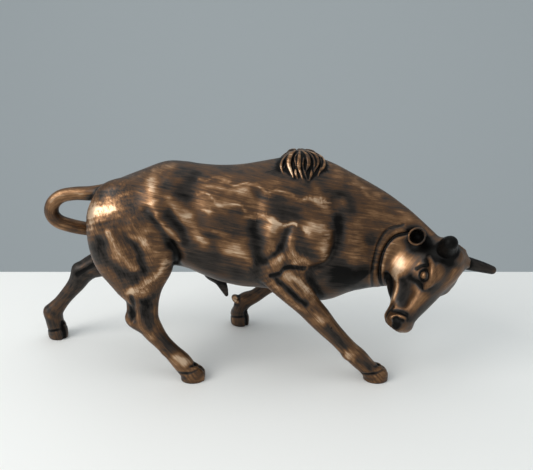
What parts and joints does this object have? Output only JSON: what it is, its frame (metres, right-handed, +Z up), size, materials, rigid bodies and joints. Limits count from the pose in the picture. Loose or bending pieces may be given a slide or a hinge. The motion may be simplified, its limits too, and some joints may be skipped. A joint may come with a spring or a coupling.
{
  "type": "bull figurine",
  "caption": "Small cast bull that stands on its four hooves, head lowered and turned aside, tail looped over its back leg, in dark bronze patina.",
  "frame": {"origin": "on the ground under the middle of the figure's bounding box, at the level of the hoof soles", "axes": "+Z up, +X from the tail towards the head, +Y to the bull's left, so that the head is turned towards -Y"},
  "size_m": [0.3174, 0.1104, 0.1501],
  "materials": {
    "bronze": "satin dark bronze patina, dry-brushed copper brown on the high places"
  },
  "bodies": {
    "root": {"bull": "bronze"}
  },
  "joints": []
}
